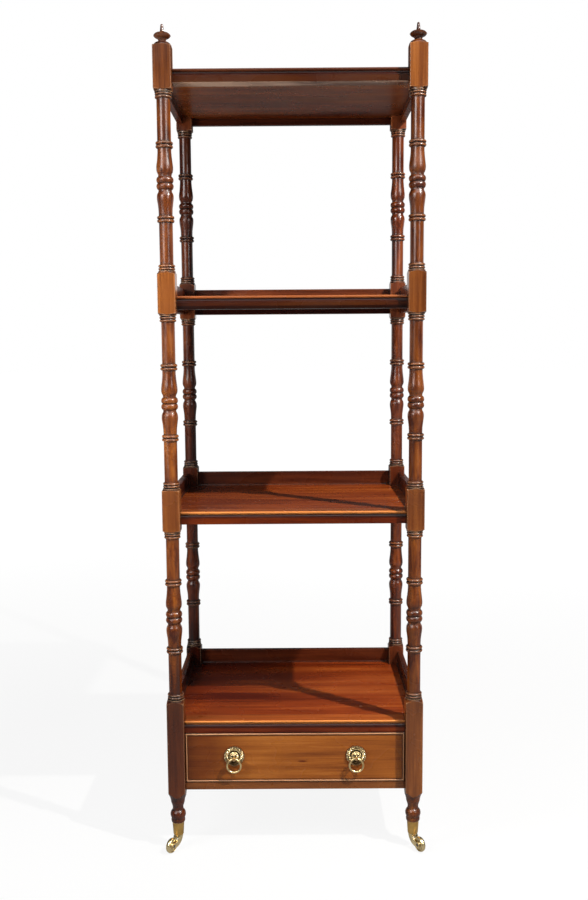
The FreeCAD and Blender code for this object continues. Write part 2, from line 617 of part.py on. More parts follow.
# ---------------------------------------------------------------- ring pulls
def rosette():
    """Round lion mask on the Z axis: fluted rim, raised ring of the mane, rounded face."""
    slope = [(MASK_R, MASK_RIM),
             ((MASK_R + MASK_RIDGE_R) / 2, (MASK_RIM + MASK_RIDGE_HEIGHT) / 2 + 0.3),
             (MASK_RIDGE_R, MASK_RIDGE_HEIGHT)]
    inside = [(MASK_RIDGE_R, MASK_RIDGE_HEIGHT), ((MASK_RIDGE_R + MASK_VALLEY_R) / 2, MASK_RIDGE_HEIGHT),
              (MASK_VALLEY_R, MASK_VALLEY_HEIGHT)]
    face = cap(MASK_HEAD_R, MASK_VALLEY_HEIGHT, MASK_HEAD_HEIGHT - MASK_VALLEY_HEIGHT)
    disc = turned([[(0, 0), (MASK_R, 0)], slope, inside, face])
    for i in range(MASK_FLUTES):
        angle = 2 * math.pi * (i + 0.5) / MASK_FLUTES
        at = V(MASK_R * math.cos(angle), MASK_R * math.sin(angle), 0)
        disc = disc.cut(Part.makeCylinder(FLUTE_R, MASK_RIDGE_HEIGHT, at, UP))
    return disc


def mask(x):
    """Lion mask on the drawer front, with the muzzle that the ring hangs in."""
    disc = rosette()
    disc.rotate(V(0, 0, 0), V(1, 0, 0), 90)
    disc = moved(disc, x, FRONT, PULL_Z)
    sag = RING_R - math.sqrt(RING_R ** 2 - (MUZZLE_WIDTH / 2) ** 2)
    bore_r = RING_WIRE_R + sag + RING_CLEARANCE
    reach = bore_r + MUZZLE_WALL
    tip = HINGE_Y - reach
    left = x - MUZZLE_WIDTH / 2
    muzzle = box(left, left + MUZZLE_WIDTH, tip, FRONT - MASK_RIM, HINGE_Z - reach, HINGE_Z + reach)
    muzzle = rounded(muzzle, MUZZLE_ROUND, lambda a, b: max(a.y, b.y) < tip + 0.01)
    bore = Part.makeCylinder(bore_r, MUZZLE_WIDTH, V(left, HINGE_Y, HINGE_Z), V(1, 0, 0))
    thread = Part.makeCylinder(STUD_R, STUD_IN_MASK, V(x, FRONT, PULL_Z), V(0, -1, 0))
    return disc.fuse(muzzle).cut(bore).cut(thread).removeSplitter()


def pull_ring(x):
    return Part.makeTorus(RING_R, RING_WIRE_R, V(x, HINGE_Y, HINGE_Z - RING_R), V(0, 1, 0))


def pull_fixings(x):
    """Threaded stud, washer and hexagonal nut of one pull."""
    along = V(0, 1, 0)
    seat = V(x, FRONT_BACK, PULL_Z)
    stack = WASHER_HEIGHT + NUT_HEIGHT
    stud = Part.makeCylinder(STUD_R, STUD_IN_MASK + FRONT_THICKNESS + stack + STUD_END,
                             V(x, FRONT - STUD_IN_MASK, PULL_Z), along)
    bore = Part.makeCylinder(STUD_R, stack, seat, along)
    washer = Part.makeCylinder(WASHER_R, WASHER_HEIGHT, seat, along)
    reach = NUT_FLAT / 2 / math.cos(math.pi / 6)
    corners = [seat + V(reach * math.cos(i * math.pi / 3), WASHER_HEIGHT, reach * math.sin(i * math.pi / 3))
               for i in range(6)]
    return [stud, washer.cut(bore), polygon(corners, V(0, NUT_HEIGHT, 0)).cut(bore)]


# ---------------------------------------------------------------- castors
def castor_cup():
    """Tapered brass socket round the end of a leg, with a hole for the swivel stem."""
    hole = STEM_R + AXLE_RUNNING
    bulge = CUP_ROUND * (1 - math.sqrt(0.5))
    return turned([[(hole, CUP_BOTTOM), (CUP_LOW_R - CUP_ROUND, CUP_BOTTOM)],
                   [(CUP_LOW_R - CUP_ROUND, CUP_BOTTOM), (CUP_LOW_R - bulge, CUP_BOTTOM + bulge),
                    (CUP_LOW_R, CUP_BOTTOM + CUP_ROUND)],
                   [(CUP_TOP_R, CUP_TOP), (CUP_TOP_R - CUP_WALL, CUP_TOP)],
                   [(CUP_LOW_R - CUP_WALL, LEG_END), (hole, LEG_END)]])


def across_wheel(radius, reach):
    """Cylinder on the axle line, reaching the same distance to both sides."""
    return Part.makeCylinder(radius, 2 * reach, V(TRAIL, -reach, WHEEL_R), V(0, 1, 0))


def castor_fork():
    """Horn of a castor: crown, two curved arms and the riveted stem, trailing along +X."""
    crown_top = CUP_BOTTOM - SWIVEL_GAP
    crown_low = crown_top - FORK_CROWN_HEIGHT
    head_low = LEG_END + SWIVEL_GAP
    head_high = head_low + STEM_HEAD_HEIGHT
    fork = turned([[(0, crown_low), (FORK_CROWN_R - 2.5, crown_low)],
                   [(FORK_CROWN_R - 2.5, crown_low), (FORK_CROWN_R - 0.7, crown_low + 1.2),
                    (FORK_CROWN_R, crown_low + 3.5)],
                   [(FORK_CROWN_R, crown_top), (STEM_R, crown_top)],
                   [(STEM_R, head_low), (STEM_HEAD_R, head_low)],
                   [(STEM_HEAD_R, head_high), (0, head_high)]])
    eye_low = (TRAIL, WHEEL_R - FORK_EYE_R)
    eye_high = (TRAIL, WHEEL_R + FORK_EYE_R)
    arm_top = crown_top - 1.5
    arm = [[(1.5 - FORK_CROWN_R, arm_top), (TRAIL / 7, WHEEL_R - 0.55 * FORK_EYE_R), eye_low],
           [eye_low, (TRAIL + FORK_EYE_R, WHEEL_R), eye_high],
           [eye_high, (TRAIL - 7.5, eye_high[1] - 0.6), (FORK_CROWN_R - 0.5, arm_top)]]
    for y in (-ARM_IN - FORK_ARM, ARM_IN):
        fork = fork.fuse(closed_face(arm, lambda s, z: V(s, y, z)).extrude(V(0, FORK_ARM, 0)))
    hole = across_wheel(AXLE_R + AXLE_SEAT, ARM_IN + FORK_ARM)
    room = across_wheel(WHEEL_R + FORK_WHEEL_GAP, ARM_IN)
    return fork.cut(hole).cut(room).removeSplitter()


def castor_axle():
    """Pin through both arms and the wheel, riveted over at each end."""
    half = ARM_IN + FORK_ARM
    upper = [[(AXLE_R, 0), (AXLE_R, half)], cap(AXLE_HEAD_R, half, AXLE_HEAD_HEIGHT)]
    pin = turned(mirrored(upper) + upper)
    pin.rotate(V(0, 0, 0), V(1, 0, 0), 90)
    return moved(pin, TRAIL, 0, WHEEL_R)


def castor_wheel():
    """Brass wheel with a crowned tread and dished sides."""
    half = WHEEL_WIDTH / 2
    rim_side = half - 0.2
    web = half - WHEEL_DISH
    tread_r = WHEEL_R - WHEEL_CROWN
    tread_z = rim_side - WHEEL_CHAMFER
    rim_r = WHEEL_R - WHEEL_RIM
    bore = AXLE_R + AXLE_RUNNING
    upper = [[(tread_r - WHEEL_CHAMFER, rim_side), (rim_r, rim_side)],
             [(rim_r - 0.8, web), (WHEEL_HUB_R + 0.8, web)],
             [(WHEEL_HUB_R, half), (bore, half)]]
    tread = [(tread_r, -tread_z), (WHEEL_R, 0), (tread_r, tread_z)]
    wheel = turned(mirrored(upper) + [tread] + upper)
    wheel.rotate(V(0, 0, 0), V(1, 0, 0), 90)
    return moved(wheel, TRAIL, 0, WHEEL_R)


def heading(sx, sy):
    """Angle about Z, from +X, in which the castor at corner (sx, sy) trails."""
    outward = math.radians(TRAIL_ANGLE)
    return math.degrees(math.atan2(sy * math.cos(outward), sx * math.sin(outward)))


# ---------------------------------------------------------------- write the pieces
def write_frame():
    upright = post()
    ornament = finial()
    for name, sx, sy in CORNERS:
        save("post_" + name, moved(upright, sx * HALF_X, sy * HALF_Y))
        save("finial_" + name, moved(ornament, sx * HALF_X, sy * HALF_Y, POST_TOP + DOME_HEIGHT))
    for name, top in SHELVES:
        is_base = top == BASE_SHELF
        kind = "case" if is_base else "gallery"
        low = CASE_BOTTOM if is_base else top - RAIL_HEIGHT
        save("shelf_" + name, shelf(top))
        save("front_rail_" + name, front_rail(top))
        save("%s_back_%s" % (kind, name), back_board(low, top))
        for side_name, side in SIDES:
            save("%s_%s_%s" % (kind, side_name, name), side_board(side, low, top))


def write_case():
    save("bottom_rail", bottom_rail())
    for name, side in SIDES:
        save("drawer_runner_" + name, runner(side))
    save("drawer_kickers", *[kicker(side) for _, side in SIDES])
    save("drawer_stops", *[drawer_stop(side) for _, side in SIDES])


def write_drawer():
    save("drawer_front", drawer_front())
    save("drawer_back", drawer_back())
    save("drawer_bottom", drawer_bottom())
    save("drawer_cock_beads", *cock_beads())
    fixings = []
    for name, side in SIDES:
        x = side * PULL_SPACING / 2
        save("drawer_side_" + name, drawer_side(side))
        save("pull_mask_" + name, mask(x))
        save("pull_ring_" + name, pull_ring(x))
        fixings += pull_fixings(x)
    save("pull_fixings", *fixings)


def write_castors():
    cup = castor_cup()
    swivelling = (("fork", castor_fork()), ("axle", castor_axle()), ("wheel", castor_wheel()))
    for name, sx, sy in CORNERS:
        save("castor_cup_" + name, moved(cup, sx * HALF_X, sy * HALF_Y))
        for piece, shape in swivelling:
            turned_out = shape.copy()
            turned_out.rotate(V(0, 0, 0), UP, heading(sx, sy))
            save("castor_%s_%s" % (piece, name), moved(turned_out, sx * HALF_X, sy * HALF_Y))


os.makedirs("parts", exist_ok=True)
write_frame()
write_case()
write_drawer()
write_castors()
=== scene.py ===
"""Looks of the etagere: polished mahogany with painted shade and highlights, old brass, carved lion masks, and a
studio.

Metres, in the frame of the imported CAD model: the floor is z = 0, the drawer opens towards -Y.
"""

import json
import math
from collections import namedtuple

import bmesh
import bpy
import numpy as np
from mathutils import Matrix, Vector


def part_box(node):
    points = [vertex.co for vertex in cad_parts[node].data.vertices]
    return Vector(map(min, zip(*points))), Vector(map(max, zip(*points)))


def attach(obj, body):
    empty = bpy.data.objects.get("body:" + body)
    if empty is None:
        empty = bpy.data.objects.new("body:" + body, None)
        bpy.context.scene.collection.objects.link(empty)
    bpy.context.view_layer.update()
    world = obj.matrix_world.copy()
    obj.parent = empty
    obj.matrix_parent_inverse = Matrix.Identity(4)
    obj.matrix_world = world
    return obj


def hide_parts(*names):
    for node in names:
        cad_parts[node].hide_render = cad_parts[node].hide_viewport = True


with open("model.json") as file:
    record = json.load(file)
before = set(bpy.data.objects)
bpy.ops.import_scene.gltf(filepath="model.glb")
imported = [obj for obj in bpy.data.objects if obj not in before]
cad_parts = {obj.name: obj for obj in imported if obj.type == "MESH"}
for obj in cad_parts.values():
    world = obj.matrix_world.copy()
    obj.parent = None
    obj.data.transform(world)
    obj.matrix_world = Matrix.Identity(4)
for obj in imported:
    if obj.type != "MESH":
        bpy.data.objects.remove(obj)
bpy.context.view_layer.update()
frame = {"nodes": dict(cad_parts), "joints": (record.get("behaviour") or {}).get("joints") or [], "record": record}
scene = bpy.context.scene

# ---------------------------------------------------------------- where things are
SIDES = (("left", -1), ("right", 1))

mask_low, mask_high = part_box("pull_mask_right")
FRONT = mask_high[1]                                # front face of the drawer and the rails
PULL_X = (mask_low[0] + mask_high[0]) / 2           # middles of the lion masks, either side
PULL_Z = (mask_low[2] + mask_high[2]) / 2
MASK_R = (mask_high[0] - mask_low[0]) / 2
PETALS = 36                                         # flutes round a mask's rim
HINGE_Y, HINGE_Z = next(j["pos_m"][1:] for j in frame["joints"] if j["name"] == "ring_right_swing")
RING_HOLE_R = 0.00292                               # hole for the ring in a muzzle

post_low, post_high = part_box("post_back_right")     # its square blocks are its widest parts
POST_X = (post_low[0] + post_high[0]) / 2           # axes of the posts, either side
POST_Y = (post_low[1] + post_high[1]) / 2
BLOCK_HALF = (post_high[0] - post_low[0]) / 2
SIDE_IN_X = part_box("case_right_base")[0][0]         # inner faces of the side boards, either side
BASE_TOP, LOWER_TOP, UPPER_TOP = (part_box("shelf_" + tier)[1][2] for tier in ("base", "lower", "upper"))

BOARD_EASE = 0.0007                                 # how far hand wear has softened the edges of boards
FINE_EASE = 0.0004                                  # the same on mouldings and the drawer


def srgb(red, green, blue):
    """Linear colour with alpha of an 8-bit screen colour."""
    return tuple((c / 255 / 12.92 if c <= 10 else ((c / 255 + 0.055) / 1.055) ** 2.4)
                 for c in (red, green, blue)) + (1.0,)


# ---------------------------------------------------------------- materials
class Graph:
    """Node tree of one material. Most methods add a node and return its output socket."""

    def __init__(self, name):
        self.material = bpy.data.materials.new(name)
        self.material.use_nodes = True
        self.tree = self.material.node_tree
        self.tree.nodes.clear()
        self.place = self.node("ShaderNodeTexCoord").outputs["Object"]

    def node(self, kind, inputs=None, **settings):
        made = self.tree.nodes.new(kind)
        for name, value in settings.items():
            setattr(made, name, value)
        for name, value in (inputs or {}).items():
            if isinstance(value, bpy.types.NodeSocket):
                self.tree.links.new(value, made.inputs[name])
            else:
                made.inputs[name].default_value = value
        return made

    def axes(self):
        """Place in the part's frame, as sockets named X, Y and Z."""
        return self.node("ShaderNodeSeparateXYZ", {0: self.place}).outputs

    def upward(self):
        """1 on faces that look up, -1 on faces that look down."""
        facing = self.node("ShaderNodeNewGeometry").outputs["Normal"]
        return self.node("ShaderNodeSeparateXYZ", {0: facing}).outputs["Z"]

    def math(self, operation, a, b=0.0):
        return self.node("ShaderNodeMath", {0: a, 1: b}, operation=operation).outputs[0]

    def weighted(self, *parts):
        """Sum of values, given as (value, weight)."""
        total = 0.0
        for value, weight in parts:
            total = self.math("ADD", total, self.math("MULTIPLY", value, weight))
        return total

    def remap(self, value, low, high, to_low=0.0, to_high=1.0):
        """Stretch the range from low to high to another one, and hold values beyond it at its ends."""
        return self.node("ShaderNodeMapRange", {"Value": value, "From Min": low, "From Max": high,
                                                "To Min": to_low, "To Max": to_high}).outputs[0]

    def noise(self, scale, detail=2.0, roughness=0.5, distortion=0.0, shift=0.0):
        """Noise in cycles per metre, one number or one for each axis."""
        scales = (scale,) * 3 if isinstance(scale, (int, float)) else scale
        moved = (shift, shift * 1.7, shift * 0.6)
        scaled = self.node("ShaderNodeMapping", {"Vector": self.place, "Scale": scales, "Location": moved})
        inputs = {"Vector": scaled.outputs[0], "Scale": 1.0, "Detail": detail, "Roughness": roughness,
                  "Distortion": distortion}
        return self.node("ShaderNodeTexNoise", inputs).outputs[0]

    def ramp(self, value, stops):
        made = self.node("ShaderNodeValToRGB", {"Fac": value})
        points = made.color_ramp.elements
        while len(points) < len(stops):
            points.new(0.5)
        for point, (position, colour) in zip(points, stops):
            point.position, point.color = position, colour
        return made.outputs[0]

    def mix(self, factor, a, b, blend="MIX"):
        made = self.node("ShaderNodeMix", {0: factor, 6: a, 7: b}, data_type="RGBA", blend_type=blend)
        return made.outputs[2]

    def stained(self, share, colour, stain):
        """The colour with a share of it multiplied by stain, which in some places is painted shade."""
        return self.mix(share, colour, stain, "MULTIPLY")

    def crevices(self, reach, alone=True):
        """1 in the open, towards 0 in the hollows of the piece, or also beside its neighbours."""
        return self.node("ShaderNodeAmbientOcclusion", {"Distance": reach}, samples=8,
                         only_local=alone).outputs["AO"]

    def edges(self, reach):
        """1 on thin parts and along outer edges, 0 on broad faces."""
        inside = self.node("ShaderNodeAmbientOcclusion", {"Distance": reach}, samples=8,
                           only_local=True, inside=True).outputs["AO"]
        return self.remap(inside, 0.85, 0.35)

    def patch(self, middle, reach, amount):
        """The amount at a place in the part's frame, fading to 0 at a distance from it along each axis."""
        placed = self.node("ShaderNodeMapping", {"Vector": self.place, "Location": middle, "Scale": reach},
                           vector_type="TEXTURE").outputs[0]
        near = self.node("ShaderNodeTexGradient", {"Vector": placed}, gradient_type="SPHERICAL")
        return self.remap(near.outputs["Fac"], 0.0, 0.6, 0.0, amount)

    def blocks(self, axis):
        """1 on the faces of the square blocks of the post with the axis (x, y), 0 on its turned parts."""
        at = self.axes()
        off = [self.math("ABSOLUTE", self.math("SUBTRACT", at[name], middle))
               for name, middle in zip("XY", axis)]
        return self.remap(self.math("MAXIMUM", *off), BLOCK_HALF - 0.0004, BLOCK_HALF - 0.0003)

    def bump(self, height, depth, strength=1.0, over=None):
        inputs = {"Height": height, "Distance": depth, "Strength": strength}
        if over is not None:
            inputs["Normal"] = over
        return self.node("ShaderNodeBump", inputs).outputs[0]

    def finish(self, **inputs):
        """Principled surface; underscores in the names stand for spaces."""
        surface = self.node("ShaderNodeBsdfPrincipled",
                            {name.replace("_", " "): value for name, value in inputs.items()})
        self.node("ShaderNodeOutputMaterial", {"Surface": surface.outputs[0]})
        return self.material


def along(grain, lengthwise, across):
    """Noise scale for wood whose grain runs along the axis named X, Y or Z."""
    return tuple(lengthwise if axis == grain else across for axis in "XYZ")


OLD_POLISH_AND_PAINTED_SHADE = srgb(156, 120, 84)                           # stain of old dark polish in open pores, and painted shade
RUBBED_RING_AND_HIGHLIGHT = srgb(226, 182, 138)                   # turned rings, rubbed through, lightened as a painted highlight
TURNED_STAIN = (0.36, srgb(150, 114, 78)), (0.50, srgb(220, 198, 162)), (0.62, srgb(255, 244, 192))
BARE = srgb(255, 255, 255)
# painted shade in hollows beneath beads and beside the drawer's cock bead
PAINTED_HOLLOW_SHADE = srgb(92, 66, 48)
# grime and painted shade in crevices
GRIME_AND_PAINTED_SHADE = srgb(14, 7, 4)

# Front edge of a tier between two heights. It has a rubbed bead of one colour over a share of its height,
# a painted highlight on the lower tiers and painted shade on the top one; painted shade in the hollow, on its
# flat face and on the foot of that face; and a soffit of another colour: painted shade, on the top tier a
# painted reflection.
Moulding = namedtuple("Moulding", "low high bead share face foot soffit")


def mottled(g, wood, block, shift):
    """Blotchy polish on the turned parts of a post, where block is 0."""
    mottle = g.noise((75, 75, 15), 4, 0.62, 0.5, shift + 2)
    return g.mix(block, g.stained(1.0, wood, g.ramp(mottle, TURNED_STAIN)), wood)


def moulded(g, wood, grain, shift, edge):
    """Wood of a Moulding: painted light on its bead and soffit, painted shade in the hollow, face and foot."""
    below = g.remap(g.axes()["Z"], edge.high, edge.low)
    hollow = edge.share + 0.06
    # painted shade down the edge: bare bead, dark hollow, darker face and foot
    stain = g.ramp(below, [(edge.share, BARE), (hollow, PAINTED_HOLLOW_SHADE), (hollow + 0.16, PAINTED_HOLLOW_SHADE),
                           (hollow + 0.32, edge.face), (0.72, edge.face), (0.80, edge.foot)])
    wood = g.stained(1.0, wood, stain)
    # the bead colour, painted light, goes where its faces turn from up towards the front
    not_flat = g.remap(g.upward(), 0.97, 0.85, 0.12, 0.85)
    wood = g.mix(g.math("MULTIPLY", g.remap(below, hollow, edge.share), not_flat), wood, edge.bead)
    cloud = g.remap(g.noise(along(grain, 5, 20), 3, 0.6, 0.0, shift + 6), 0.42, 0.62, 0.1, 1.0)
    # soffit colour in clouds along the lowest edge: painted shade, on the top tier a painted reflection
    return g.mix(g.math("MULTIPLY", g.remap(below, 0.97, 0.99), cloud), wood, edge.soffit)


def shaded_below(g, wood, grain, shift, stain):
    """Streaky painted shade on the faces that look down."""
    streak = g.remap(g.noise(along(grain, 7, 32), 3, 0.6, 0.3, shift), 0.42, 0.60, 0.65, 1.0)
    streaked = g.stained(1.0, g.stained(1.0, wood, stain), streak)
    return g.mix(g.remap(g.upward(), -0.5, -0.8), wood, streaked)


def shaded_outline(g, wood, low, high):
    """Painted shade along the edge of a panel between two corners, beside the bead round it."""
    at = g.axes()
    inward = [g.math("MINIMUM", g.math("SUBTRACT", at[name], low[i]), g.math("SUBTRACT", high[i], at[name]))
              for i, name in ((0, "X"), (2, "Z"))]
    return g.stained(g.remap(g.math("MINIMUM", *inward), 0.0065, 0.0035), wood, PAINTED_HOLLOW_SHADE)


def mahogany(name, grain, tones, shift, gloss=0.26, level=0.5, darker_places=(), axis=None, moulding=None, under=None,
             outline=None):
    """French-polished mahogany: figure, ribbon stripe, fibres, open pores, grime and painted shade in hollows,
    rubbed edges.

    tones are its dark, middle and light colours, and shift moves the figure. gloss is the middle roughness.
    darker_places lists darker places as (middle, reach, amount), most of them painted shade. A post has an
    axis (x, y): its turned parts are mottled, with rubbed rings lightened as a painted highlight, and its
    square blocks are smoother and less rubbed. moulding is a Moulding with painted light, under is painted
    shade on the faces that look down, and outline (low, high) is that of a panel in a bead, with painted
    shade along it."""
    g = Graph(name)
    dark, middle, light = tones
    figure = g.noise(along(grain, 1.7, 15), 3, 0.55, 0.5, shift)
    stripe = g.noise(along(grain, 3.2, 85), 4, 0.6, 0.0, shift)
    fibre = g.noise(along(grain, 16, 900), 2, 0.5, 0.0, shift)
    pores = g.remap(g.noise(along(grain, 150, 2600), 1, 0.5, 0.0, shift), 0.60, 0.74)
    patina = g.noise(9, 3, 0.6, 0.0, shift + 4)
    ripple = g.noise(along(grain, 18, 60), 2, 0.5, 0.0, shift + 8)
    tone = g.weighted((figure, 0.50), (stripe, 0.33), (fibre, 0.17))
    wood = g.ramp(tone, [(0.38, dark), (0.50, middle), (0.62, light)])
    wood = g.mix(g.remap(patina, 0.40, 0.75, 0.0, 0.35), wood, g.mix(0.5, dark, middle))
    rough = g.remap(patina, 0.3, 0.7, gloss - 0.06, gloss + 0.08)
    # darker places: painted shade by the tiers and at the drawer's left end; on the front posts, darker tone
    for place, reach, amount in darker_places:
        wood = g.stained(g.patch(place, reach, amount), wood, OLD_POLISH_AND_PAINTED_SHADE)
    if axis:
        block = g.blocks(axis)
        wood = mottled(g, wood, block, shift)
        rough = g.math("SUBTRACT", rough, g.remap(block, 0.0, 1.0, 0.0, 0.04))
        rubbed, rubbed_colour = g.remap(block, 0.0, 1.0, 0.95, 0.3), RUBBED_RING_AND_HIGHLIGHT
        open_air = g.remap(g.crevices(0.009), 0.64, 0.98)
        ripple_strength, fibre_strength = 0.04, 0.15
    else:
        rubbed, rubbed_colour = 0.55, light
        open_air = g.remap(g.crevices(0.005, alone=False), 0.35, 0.90)
        ripple_strength, fibre_strength = 0.3, 0.5
    if moulding:
        wood = moulded(g, wood, grain, shift, moulding)
    if under:
        wood = shaded_below(g, wood, grain, shift, under)
    if outline:
        wood = shaded_outline(g, wood, *outline)
    wood = g.stained(g.math("MULTIPLY", pores, 0.45), wood, OLD_POLISH_AND_PAINTED_SHADE)
    if not moulding:
        # edges lightened by wear, and on turned rings by a painted highlight
        wood = g.mix(g.math("MULTIPLY", g.edges(0.003), rubbed), wood, rubbed_colour)
    # grime and painted shade in crevices, and on boards beside neighbouring parts
    wood = g.mix(open_air, g.mix(0.94, wood, GRIME_AND_PAINTED_SHADE), wood)
    rough = g.math("ADD", rough, g.remap(open_air, 0.0, 1.0, 0.25, 0.0))
    skin = g.bump(ripple, 0.0002, ripple_strength)
    grain_relief = g.math("SUBTRACT", g.math("MULTIPLY", fibre, 0.4), pores)
    skin = g.bump(grain_relief, 0.00005, fibre_strength, skin)
    return g.finish(Base_Color=wood, Roughness=rough, Normal=skin, Specular_IOR_Level=level)


# Each post: tones, shift of the figure, specular level, and darker lengths as (height, reach, amount).
# On the back posts the darker lengths are painted shade by the tiers.
FRONT_POST_TONES = srgb(71, 33, 11), srgb(125, 68, 26), srgb(165, 100, 43)
POSTS = {
    "front_left": (FRONT_POST_TONES, 0.0, 0.5,
                   [(0.15, 0.28, 0.9), (LOWER_TOP, 0.07, 0.35), (1.5, 0.15, 0.3)]),
    "front_right": (FRONT_POST_TONES, 4.7, 0.5,
                    [(1.1, 0.6, 0.3), (LOWER_TOP, 0.07, 0.5), (UPPER_TOP, 0.07, 0.3)]),
    "back_left": ((srgb(53, 21, 10), srgb(95, 46, 23), srgb(140, 75, 40)), 6.2, 0.45,
                  [(BASE_TOP, 0.2, 1.0), (BASE_TOP, 0.1, 0.8), (LOWER_TOP, 0.2, 0.9)]),
    "back_right": ((srgb(64, 27, 14), srgb(117, 57, 28), srgb(160, 88, 45)), 9.3, 0.6,
                   [(BASE_TOP, 0.1, 0.5), (LOWER_TOP, 0.1, 0.9)])}


def post_wood(corner, tones, shift, level, dark_lengths):
    x = POST_X if corner.endswith("right") else -POST_X
    y = POST_Y if corner.startswith("back") else -POST_Y
    darker_places = [((x, y, z), (0.1, 0.1, reach), amount) for z, reach, amount in dark_lengths]
    return mahogany("mahogany_post_" + corner, "Z", tones, shift, level=level, darker_places=darker_places, axis=(x, y))


BASE_TONES = srgb(84, 24, 5), srgb(134, 54, 15), srgb(168, 86, 34)
UPPER_TONES = srgb(87, 27, 6), srgb(140, 61, 18), srgb(172, 92, 37)
TIER_TONES = {"base": BASE_TONES, "lower": UPPER_TONES, "upper": UPPER_TONES, "top": UPPER_TONES}
TIER_SHIFT = 2.3
# painted shade on the faces that look down, on the upper and top shelves
UNDERSIDE_PAINTED_SHADES = {"base": None, "lower": None, "upper": srgb(110, 96, 88), "top": srgb(204, 216, 178)}
# painted shadows of the shelves above, at the back left of the base and lower shelves
PAINTED_SHELF_SHADOWS = [((-0.22, 0.15, BASE_TOP), (0.35, 0.3, 0.1), 0.9),
                     ((-0.24, 0.17, BASE_TOP), (0.22, 0.16, 0.1), 0.5),
                     ((-0.24, 0.0, LOWER_TOP), (0.25, 0.4, 0.1), 0.5)]


def shelf_wood(tier):
    return mahogany("mahogany_shelf_" + tier, "X", TIER_TONES[tier], TIER_SHIFT, level=0.3,
                    darker_places=PAINTED_SHELF_SHADOWS, under=UNDERSIDE_PAINTED_SHADES[tier])


# Front edge of each tier: bead, its share of the height, face, foot, soffit. The colours are painted light:
# highlights on the lower beads; shade on the top bead, the faces, the feet and the lower soffits; a reflection
# on the top soffit.
BASE_FACE, LOWER_FACE, TOP_FACE = srgb(214, 206, 156), srgb(182, 160, 112), srgb(118, 122, 110)
PAINTED_SOFFIT_SHADE = srgb(46, 20, 9)
EDGES = {"base": (srgb(220, 136, 64), 0.29, BASE_FACE, BASE_FACE, PAINTED_SOFFIT_SHADE),
         "lower": (srgb(210, 130, 62), 0.23, LOWER_FACE, LOWER_FACE, PAINTED_SOFFIT_SHADE),
         "upper": (srgb(150, 84, 42), 0.16, srgb(112, 112, 120), srgb(60, 52, 52), PAINTED_SOFFIT_SHADE),
         "top": (srgb(64, 30, 13), 0.20, TOP_FACE, TOP_FACE, srgb(172, 140, 116))}


def edge_wood(tier):
    low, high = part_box("front_rail_" + tier)
    return mahogany("mahogany_edge_" + tier, "X", TIER_TONES[tier], TIER_SHIFT, level=0.25,
                    moulding=Moulding(low[2], high[2], *EDGES[tier]))


SIDE_TONES = srgb(40, 15, 6), srgb(80, 34, 16), srgb(118, 60, 29)
PAINTED_SIDE_SHADE_LEVELS = (BASE_TOP, 1.0), (BASE_TOP, 0.6), (LOWER_TOP, 1.0), (UPPER_TOP, 0.6)


def side_wood(side, sign, amount):
    """Boards of one side, with painted shade on their inner faces near the tiers, by an amount."""
    darker_places = [((sign * SIDE_IN_X, 0, z), (0.009, 1.5, 0.15), amount * share) for z, share in PAINTED_SIDE_SHADE_LEVELS]
    return mahogany("mahogany_sides_" + side, "Y", SIDE_TONES, 3.9, darker_places=darker_places)


def drawer_front_wood():
    """Front of the drawer, with painted shade at its left end and a small dark mark by its middle."""
    tones = srgb(111, 53, 14), srgb(158, 88, 29), srgb(188, 117, 50)
    left_end_shade = (-0.21, FRONT, 0.19), (0.13, 0.05, 0.13), 0.75
    small_mark = (0.014, FRONT, 0.172), (0.011, 0.02, 0.0024), 1.0
    return mahogany("mahogany_drawer", "X", tones, 5.1, level=0.3, darker_places=[left_end_shade, small_mark],
                    outline=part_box("drawer_front"))


def pale_back_wood():
    """Paler back gallery: a lighter copy of the back wood, painted light for the light this gallery gets.
    A dark band of painted shade, laid on twice, follows its lower edge.
    """
    tones = srgb(62, 26, 12), srgb(104, 50, 26), srgb(138, 76, 44)
    band = (0, POST_Y, 1.02), (1.0, 0.2, 0.035), 1.0
    return mahogany("mahogany_back_pale", "X", tones, 7.4, level=0.3, darker_places=[band, band])


def back_wood():
    tones = srgb(36, 12, 5), srgb(66, 24, 9), srgb(98, 44, 20)
    return mahogany("mahogany_backs", "X", tones, 1.4, level=0.25)


def bottom_rail_wood():
    tones = srgb(86, 42, 14), srgb(126, 69, 25), srgb(154, 92, 42)
    return mahogany("mahogany_bottom_rail", "X", tones, 6.6, level=0.4)


def cock_bead_wood():
    # tones lighter than the drawer front: a painted highlight along the cock beads
    tones = srgb(134, 82, 50), srgb(176, 120, 80), srgb(200, 148, 106)
    return mahogany("mahogany_cock_beads", "X", tones, 8.2)


def finial_wood():
    tones = srgb(42, 19, 10), srgb(80, 43, 24), srgb(122, 75, 46)
    return mahogany("mahogany_finials", "Z", tones, 4.3, gloss=0.18)


def lining_wood(name, grain):
    """Plain unpolished wood of the drawer's inside and its runners."""
    g = Graph(name)
    stripe = g.noise(along(grain, 3, 55), 4, 0.6, 0.3)
    fibre = g.noise(along(grain, 20, 800), 2)
    tone = g.weighted((stripe, 0.7), (fibre, 0.3))
    wood = g.ramp(tone, [(0.34, srgb(112, 74, 42)), (0.52, srgb(156, 112, 68)), (0.66, srgb(184, 142, 92))])
    stain = g.remap(g.noise(6, 4, 0.65), 0.45, 0.75, 0.0, 0.5)
    wood = g.mix(stain, wood, srgb(96, 62, 36))
    return g.finish(Base_Color=wood, Roughness=g.remap(fibre, 0.3, 0.7, 0.55, 0.75),
                    Normal=g.bump(fibre, 0.0001, 0.5), Specular_IOR_Level=0.3)


# tarnish in the flutes of the masks, and painted shade on their chins
TARNISH_AND_SHADE = srgb(84, 60, 32)
BRASS_GRIME = srgb(38, 26, 10)


